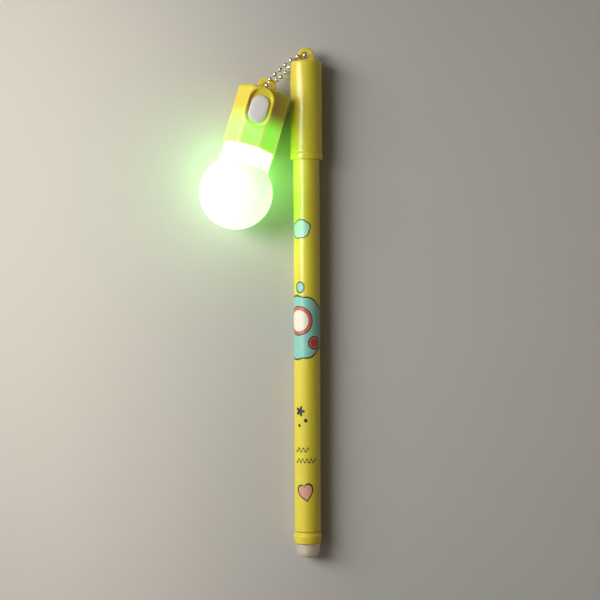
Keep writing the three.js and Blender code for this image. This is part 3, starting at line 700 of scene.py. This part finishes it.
def make_tail():
    plug = turned([
        (0, PEG_BACK),
        (PEG_RADIUS, PEG_BACK, 0.2),
        (PEG_RADIUS, RING_BACK, 0.1),
        (RING_RADIUS - 0.05, RING_BACK, 0.35),
        (RING_RADIUS + 0.22, RIDGE_Y - 1.2, 0.8),
        (RIDGE_RADIUS, RIDGE_Y - 0.15, 0.12),
        (RIDGE_RADIUS, RIDGE_Y + 0.15, 0.12),
        (RING_RADIUS + 0.03, RIDGE_Y + 0.45, 0.12),
        (RING_RADIUS + 0.03, RING_FRONT, 0.12),
        (BARREL_BORE - 0.1, RING_FRONT),
        (BARREL_BORE - 0.1, PLUG_SPIGOT_FRONT, 0.3),
        (PLUG_STEM_RADIUS, PLUG_SPIGOT_FRONT, 0.15),
        (PLUG_STEM_RADIUS, PLUG_STEM_FRONT, 0.2),
        (0, PLUG_STEM_FRONT),
    ])
    finished("tail_ring", plug, ON_PEN, "pen", yellow_plastic, ["tail_plug"])
    bore_end = ERASER_BACK + ERASER_END_WALL
    dome = turned([
        (0, ERASER_BACK),
        (2.4, ERASER_BACK, 0.9),
        (ERASER_RADIUS - 0.35, bore_end, 0.9),
        (ERASER_RADIUS, ERASER_FRONT, 0.2),
        (PEG_RADIUS + 0.1, ERASER_FRONT, 0.1),
        (PEG_RADIUS + 0.1, bore_end, 0.3),
        (0, bore_end),
    ])
    finished("eraser_dome", dome, ON_PEN, "pen", eraser_rubber, ["eraser"])


# Print on the barrel: flat shapes, x round the barrel and y along it, laid on in thin layers
PRINT_LIFT = 0.012
PRINT_STEP = 0.3


def flat_disc(radius, sides=64):
    shape = bmesh.new()
    bmesh.ops.create_circle(shape, cap_ends=True, segments=sides, radius=radius)
    return shape


def flower(radius, petals, depth):
    """Disc with a petalled rim, which falls by a share of its radius between two petals"""
    shape = flat_disc(radius, 120)
    for corner in shape.verts:
        angle = math.atan2(corner.co.y, corner.co.x)
        corner.co *= 1 + depth * abs(math.cos(petals * angle / 2)) - depth
    return shape


def heart(size):
    shape = flat_disc(size)
    for corner in shape.verts:
        corner.co.y = 0.95 * corner.co.y + 0.62 * size * math.sqrt(abs(corner.co.x) / size) - 0.25 * size
    return shape


def wave(length, width, rise, turns):
    """Band that swings up and down along x"""
    shape = bmesh.new()
    bmesh.ops.create_grid(shape, x_segments=60, y_segments=1, size=0.5)
    for corner in shape.verts:
        swing = rise * math.sin(2 * math.pi * turns * corner.co.x)
        corner.co.y = corner.co.y * width + swing
        corner.co.x *= length
    return shape


def moved(shape, x=0, y=0, turn=0.0, squeeze=(1, 1)):
    """Squeezes a flat shape, turns it by degrees and moves it"""
    bmesh.ops.scale(shape, vec=(*squeeze, 1), verts=shape.verts[:])
    swung(shape, Matrix.Rotation(math.radians(turn), 3, "Z"))
    return slid(shape, (x, y, 0))


def wrapped(shape, around, along, radius):
    """Bends a flat shape round the pen, its middle at an angle from the top and a station along"""
    reach = max(abs(corner.co.x) for corner in shape.verts)
    cuts = int(reach / PRINT_STEP) + 1
    for cut in range(-cuts, cuts + 1):
        sliced(shape, (cut * PRINT_STEP, 0, 0), (1, 0, 0))
    for corner in shape.verts:
        angle = math.radians(around) + corner.co.x / BARREL_RADIUS
        y = corner.co.y + along
        corner.co = (radius * math.sin(angle), y, radius * math.cos(angle))


def printed(name, around, along, layers):
    """One motif on the barrel, of (ink, shape) layers that reach into its wall and over each other"""
    whole = bmesh.new()
    inks = []
    for number, (ink, shape) in enumerate(layers, start=1):
        radius = BARREL_RADIUS + PRINT_LIFT * number
        wrapped(shape, around, along, radius)
        if ink not in inks:
            inks.append(ink)
        for face in shape.faces:
            face.material_index = inks.index(ink)
        # The underside lies inside the wall, so no gap shows at the layer's rim
        sunk = bmesh.ops.extrude_face_region(shape, geom=shape.faces[:])["geom"]
        share = (BARREL_RADIUS - PRINT_LIFT) / radius
        for corner in (part for part in sunk if isinstance(part, bmesh.types.BMVert)):
            corner.co.x *= share
            corner.co.z *= share
        bmesh.ops.recalc_face_normals(shape, faces=shape.faces[:])
        add_to(whole, shape)
    finished(name, whole, ON_PEN, "pen", inks)


def make_print():
    printed("print_pebble", -30, -22.6, [
        (print_dark, moved(flower(3.3, 5, 0.10), turn=20, squeeze=(1.12, 0.96))),
        (print_pale, moved(flower(2.96, 5, 0.10), turn=20, squeeze=(1.12, 0.96))),
    ])
    ring, berry = (0, 2.2), (5.4, -4.9)
    printed("print_flower", -40, -54.4, [
        (print_dark, flower(10.6, 11, 0.05)),
        (print_teal, flower(10.12, 11, 0.05)),
        (print_dark, moved(flat_disc(4.8), *ring)),
        (print_coral, moved(flat_disc(4.5), *ring)),
        (print_cream, moved(flat_disc(3.4), *ring)),
        (print_dark, moved(flat_disc(2.2), *berry)),
        (print_coral, moved(flat_disc(1.85), *berry)),
        (print_red, moved(flat_disc(1.3), *berry)),
    ])
    printed("print_bud", -32, -41.4, [
        (print_dark, moved(flat_disc(1.9), squeeze=(0.85, 1))),
        (print_teal, moved(flat_disc(1.48), squeeze=(0.85, 1))),
    ])
    printed("print_star", -34, -81.4, [(print_dark, flower(1.7, 5, 0.6))])
    printed("print_dot", -8, -84.4, [(print_dark, flat_disc(0.6, 32))])
    printed("print_dash", -38, -86.0, [(print_dark, flat_disc(0.5, 32))])
    printed("print_wave_1", -24, -93.9, [(print_dark, wave(4.6, 0.5, 0.6, 3))])
    printed("print_wave_2", -8, -97.4, [(print_dark, wave(7.0, 0.5, 0.6, 5))])
    printed("print_heart", -10, -107.6, [
        (print_dark, moved(heart(2.75), turn=12)),
        (print_pink, moved(heart(2.28), turn=12)),
    ])


# Lamp
def is_long_corner(edge):
    """Whether an edge of the octagonal bar runs along it between two faces at an angle"""
    near, far = (corner.co for corner in edge.verts)
    turn = math.atan2(near.x, near.z) - math.atan2(far.x, far.z)
    runs_along = abs(near.y - far.y) > 1e-3 and abs(turn) < 1e-3
    return runs_along and edge.calc_face_angle(0) > math.radians(6)


def make_housing():
    half_side = math.pi / HOUSING_SIDES
    corner_radius = HOUSING_FLAT / math.cos(half_side)
    prism = turned([
        (0, HOUSING_FRONT),
        (corner_radius, HOUSING_FRONT),
        (corner_radius, HOUSING_END - HOUSING_CROWN, HOUSING_SHOULDER),
        (corner_radius / 2, HOUSING_END - HOUSING_CROWN / 4, 1.5),
        (0, HOUSING_END),
    ], sides=HOUSING_SIDES)
    swung(prism, Matrix.Rotation(half_side, 3, "Y"))
    rounded(prism, [edge for edge in prism.edges if is_long_corner(edge)], HOUSING_CORNER)
    top_frame = stadium(FRAME_SIZE, [(0, FRAME_FOOT), (0, FRAME_TOP, 0.4)], FRAME_Y)
    recess = stadium(RECESS_SIZE, [
        (RECESS_COVE, RECESS_FLOOR, 0.2),
        (0, RECESS_FLOOR + 0.4, 0.1),
        (0, FRAME_TOP - 0.1, 0.1),
        (-RECESS_SPLAY, FRAME_TOP + 0.05),
        (-RECESS_SPLAY, FRAME_TOP + 1),
    ], FRAME_Y)
    opening_size = (BUTTON_SIZE[0] + 2 * BUTTON_FIT, BUTTON_SIZE[1] + 2 * BUTTON_FIT)
    opening = stadium(opening_size, [(0, 4), (0, FRAME_TOP)], BUTTON_Y)
    bore = turned([
        (0, HOUSING_FRONT - 1),
        (HOUSING_BORE, HOUSING_FRONT - 1),
        (HOUSING_BORE, HOUSING_BORE_END, 0.5),
        (0, HOUSING_BORE_END),
    ])
    body = worked(
        prism,
        ("UNION", top_frame),
        ("UNION", tab_foot(LOOP_RADIUS, LOOP_HOLE, LOOP_Y, HOUSING_END - LOOP_ROOT)),
        ("UNION", tab_ring(LOOP_RADIUS, LOOP_HOLE, LOOP_Y)),
        ("DIFFERENCE", recess),
        ("DIFFERENCE", bore),
        ("DIFFERENCE", opening),
        ("UNION", thumb_ramp()),
    )
    nodes = ["lamp_housing"]
    shell = finished("lamp_shell", body, ON_LAMP, "lamp", housing_plastic, nodes)
    level = shell.modifiers.new("even_faces", "WEIGHTED_NORMAL")
    level.keep_sharp = True


def thumb_ramp():
    """Scooped slope in the recess that leads the thumb on to the button"""
    start = BUTTON_Y + BUTTON_SIZE[1] / 2 + BUTTON_FIT + THUMB_RAMP_GAP
    end = FRAME_Y + RECESS_SIZE[1] / 2
    wedge = block((RECESS_SIZE[0] + 1, end + 1 - start, 2), (0, (start + end + 1) / 2, RECESS_FLOOR - 1))
    sliced(wedge, (0, end, 0), (0, 1, 0))
    for corner in wedge.verts:
        if corner.co.z > RECESS_FLOOR - 0.5 and corner.co.y > start + 0.1:
            corner.co.z += THUMB_RAMP_RISE
    size = (RECESS_SIZE[0] + 0.3, RECESS_SIZE[1] + 0.3)
    limits = stadium(size, [(0, RECESS_FLOOR - 0.2), (0, FRAME_TOP - 0.25)], FRAME_Y)
    return worked(wedge, ("INTERSECT", limits))


def make_button():
    flange_size = (BUTTON_SIZE[0] + 2 * BUTTON_FLANGE, BUTTON_SIZE[1] + 2 * BUTTON_FLANGE)
    flange_top = BUTTON_FOOT + BUTTON_FLANGE_HEIGHT
    crown = [
        (0, BUTTON_FOOT + 0.35),
        (0, BUTTON_TOP - 0.25, 0.3),
        (0.9, BUTTON_TOP - 0.02, 0.5),
        (1.8, BUTTON_TOP),
    ]
    cap = worked(
        stadium(BUTTON_SIZE, crown, BUTTON_Y),
        ("UNION", stadium(flange_size, [(0, BUTTON_FOOT, 0.1), (0, flange_top, 0.1)], BUTTON_Y)),
    )
    finished("button_cap", cap, ON_LAMP, "button", button_plastic, ["push_button"])


def make_globe():
    outer = math.degrees(math.acos(NECK_OUTSIDE / GLOBE_RADIUS))
    inner_radius = GLOBE_RADIUS - GLOBE_WALL
    neck_inside = NECK_OUTSIDE - GLOBE_WALL
    inner = math.degrees(math.acos(neck_inside / inner_radius))
    neck_end = HOUSING_FRONT - SEAT_GAP
    outline = ball_points(GLOBE_RADIUS, -90, outer, 40)
    outline[0] = (0, -GLOBE_RADIUS)
    outline[-1] = (*outline[-1], 0.35)
    outline += [
        (NECK_OUTSIDE, neck_end, 0.12),
        (SPIGOT_RADIUS, neck_end),
        (SPIGOT_RADIUS, SPIGOT_END, 0.15),
        (SPIGOT_RADIUS - SPIGOT_WALL, SPIGOT_END, 0.15),
        (SPIGOT_RADIUS - SPIGOT_WALL, neck_end),
        (neck_inside, neck_end - SPIGOT_WALL, 0.2),
    ]
    inside = ball_points(inner_radius, inner, -90, 28)
    inside[-1] = (0, -inner_radius)
    globe = turned(outline + inside, sides=128)
    finished("lamp_globe", globe, ON_LAMP, "globe", globe_plastic, ["diffuser"])


def make_diode():
    front = DIODE_BASE - DIODE_LENGTH
    dome = ball_points(DIODE_RADIUS, -90, 0, 12, front + DIODE_RADIUS)
    dome[0] = (0, front)
    lens = turned([
        *dome,
        (DIODE_RADIUS, DIODE_BASE - DIODE_FLANGE_LENGTH, 0.05),
        (DIODE_FLANGE_RADIUS, DIODE_BASE - DIODE_FLANGE_LENGTH, 0.1),
        (DIODE_FLANGE_RADIUS, DIODE_BASE, 0.1),
        (0, DIODE_BASE),
    ], sides=48)
    x, y, z = DIODE_LEAD_PLACE
    for side in (-1, 1):
        lead = block((DIODE_LEAD_SIZE, DIODE_LEAD_LENGTH, DIODE_LEAD_SIZE), (side * x, y, z))
        lens = worked(lens, ("UNION", lead))
    finished("diode_lens", lens, ON_LAMP, "lamp", diode_epoxy, ["light_diode"])


# Ball chain
def bead_middle(name):
    low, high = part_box(name)
    return (low + high) / 2


def make_chain():
    middles = [bead_middle(name) / MM for name in BEADS]
    count = len(middles)
    beads, links = bmesh.new(), bmesh.new()
    for number, middle in enumerate(middles):
        before, after = middles[number - 1], middles[(number + 1) % count]
        add_to(beads, hollow_bead(after - middle, before - middle), middle)
        if number == CLASP_AFTER:
            clasp = slid(aimed(clasp_sheet((after - middle).length), after - middle), middle)
        else:
            add_to(links, aimed(dumbbell((after - middle).length), after - middle), middle)
    link_nodes = ["link_" + name[-2:] for index, name in enumerate(BEADS) if index != CLASP_AFTER]
    to_metres = Matrix.Scale(MM, 4)
    finished("chain_beads", beads, to_metres, "chain", chain_steel, BEADS)
    finished("chain_links", links, to_metres, "chain", chain_steel, link_nodes)
    finished("chain_clasp_sheet", clasp, to_metres, "chain", chain_steel, ["chain_clasp"])


def hollow_bead(*ways):
    """Thin ball with a hole towards each neighbour"""
    inside = ball(BEAD_RADIUS - BEAD_WALL, 20, 12)
    holes = [
        ("DIFFERENCE", aimed(turned([(0, 0), (BEAD_HOLE, 0), (BEAD_HOLE, 1), (0, 1)], 16), way))
        for way in ways
    ]
    return worked(ball(BEAD_RADIUS, 28, 18), ("DIFFERENCE", inside), *holes)


def dumbbell(length):
    """Pin between two beads, with a head inside each of them"""
    neck = math.degrees(math.asin(LINK_RADIUS / LINK_HEAD))
    near = ball_points(LINK_HEAD, -90, 90 - neck, 6, LINK_HEAD_PLACE)
    far = ball_points(LINK_HEAD, neck - 90, 90, 6, length - LINK_HEAD_PLACE)
    near[0] = (0, near[0][1])
    far[-1] = (0, far[-1][1])
    return turned(near + far, 14)


def clasp_sheet(length):
    """Sheet clasp round the chain's two end beads, open along one side, with a keyhole at each end"""
    outside = CLASP_BORE + CLASP_WALL
    end = CLASP_REACH + CLASP_WALL
    tube = turned([
        (0, -end),
        (outside, -end, 0.25),
        (outside, length + end, 0.25),
        (0, length + end),
    ], 40)
    hollow = turned([
        (0, -CLASP_REACH),
        (CLASP_BORE, -CLASP_REACH, 0.2),
        (CLASP_BORE, length + CLASP_REACH, 0.2),
        (0, length + CLASP_REACH),
    ], 40)
    through = turned([(0, -2), (CLASP_HOLE, -2), (CLASP_HOLE, length + 2), (0, length + 2)], 20)
    slot = block((CLASP_SLOT, length + 4, 2 * CLASP_BORE), (0, length / 2, CLASP_BORE))
    return worked(tube, ("DIFFERENCE", hollow), ("DIFFERENCE", through), ("DIFFERENCE", slot))


# Floor, light and camera
FLOOR_SIZE = 1.5
FLOOR_DROP = 0.00002
# Painted light falloff across the floor: lighter on the lamp's side, darker on the other
PAINTED_FALLOFF_SPAN = (-0.08, 0.04)
FLOOR_PAINTED_LIGHT = (1.26, 1.23, 1.19)
FLOOR_PAINTED_SHADE = (0.80, 0.81, 0.83)
LIGHT_SPREAD = 80
SKY_COLOR = (1.0, 0.92, 0.82)
SKY_FADE = (-1, 0.2)
SKY_LEFT = 0.36
SKY_RIGHT = 0.05
CAMERA_AIM = (0.01228, 0.00085, 0.0052)
CAMERA_HEIGHT = 0.481
CAMERA_ROLL = 0.25
CAMERA_LENS = 88.8


def painted_floor_falloff(tree, tone):
    """Floor colour with painted light: lighter and warmer on the lamp's side, darker on the other, as
    the light falls off
    """
    side = ranged(tree, x_of(tree, place_of(tree)), *PAINTED_FALLOFF_SPAN, shape="SMOOTHSTEP")
    return mixed(tree, 1, tone, mixed(tree, side, FLOOR_PAINTED_LIGHT, FLOOR_PAINTED_SHADE), "MULTIPLY")


def make_floor():
    """Pale floor under the part, level with the lowest point of it, with a painted light falloff across
    it
    """
    shape = bmesh.new()
    bmesh.ops.create_grid(shape, x_segments=1, y_segments=1, size=FLOOR_SIZE)
    floor = plain_object(shape, "floor")
    floor.location.z = -FLOOR_DROP
    tones = ((0.58, 0.56, 0.525), (0.60, 0.58, 0.545))
    floor.data.materials.append(mottled("pale_floor_painted_light", tones, (0.55, 0.65), grain=40, tint=painted_floor_falloff))


def area_light(name, place, size, watts, color):
    """Soft box that faces the middle of the part"""
    lamp = bpy.data.lights.new(name, "AREA")
    lamp.shape = "RECTANGLE"
    lamp.size, lamp.size_y = size
    lamp.energy = watts
    lamp.spread = math.radians(LIGHT_SPREAD)
    lamp.color = color
    holder = bpy.data.objects.new(name, lamp)
    holder.location = place
    holder.rotation_euler = (-Vector(place)).to_track_quat("-Z", "Y").to_euler()
    bpy.context.scene.collection.objects.link(holder)


def make_lights():
    """Large light over the lamp's side and a low warm one over the other"""
    area_light("key_light", (-0.355, 0.11, 0.315), (0.24, 0.44), 0.66, (1.0, 0.985, 0.96))
    area_light("right_fill", (0.45, 0.0, 0.13), (0.3, 0.5), 0.056, (1.0, 0.76, 0.42))


def make_sky():
    """Even surroundings that dim from the lamp's side to the other"""
    sky = bpy.data.worlds.new("soft_sky")
    sky.use_nodes = True
    tree = sky.node_tree
    background = tree.nodes["Background"].inputs
    side = x_of(tree, place_of(tree, "Generated"))
    feed(tree, background["Strength"], ranged(tree, side, *SKY_FADE, SKY_LEFT, SKY_RIGHT))
    feed(tree, background["Color"], SKY_COLOR)
    bpy.context.scene.world = sky


def make_camera():
    """Camera that looks straight down"""
    lens = bpy.data.cameras.new("camera")
    lens.lens = CAMERA_LENS
    lens.sensor_width = 36
    lens.sensor_fit = "HORIZONTAL"
    lens.clip_start = 0.01
    holder = bpy.data.objects.new("camera", lens)
    holder.location = Vector(CAMERA_AIM) + CAMERA_HEIGHT * UP
    holder.rotation_euler = (0, 0, math.radians(-CAMERA_ROLL))
    bpy.context.scene.collection.objects.link(holder)
    bpy.context.scene.camera = holder


# Everything together
make_cap()
make_barrel()
make_nose()
make_nib()
make_tail()
make_print()
make_housing()
make_button()
make_globe()
make_diode()
make_chain()

inner_finishes = {
    clear_plastic: ["refill_tube", "tip_holder"],
    blue_ink: ["ink_column"],
    pale_grease: ["ink_follower"],
    seal_rubber: ["cap_seal"],
    black_plastic: ["diode_holder", "switch_body", "switch_plunger"],
    board_mask: ["circuit_board"],
    bright_steel: ["button_cell_1", "button_cell_2", "button_cell_3", "contact_spring"],
    contact_brass: ["contact_plate"],
}
for finish, names in inner_finishes.items():
    for name in names:
        mesh = frame["nodes"][name].data
        mesh.materials.clear()
        mesh.materials.append(finish)

make_floor()
make_lights()
make_sky()
make_camera()
bpy.context.scene.view_settings.view_transform = "Standard"
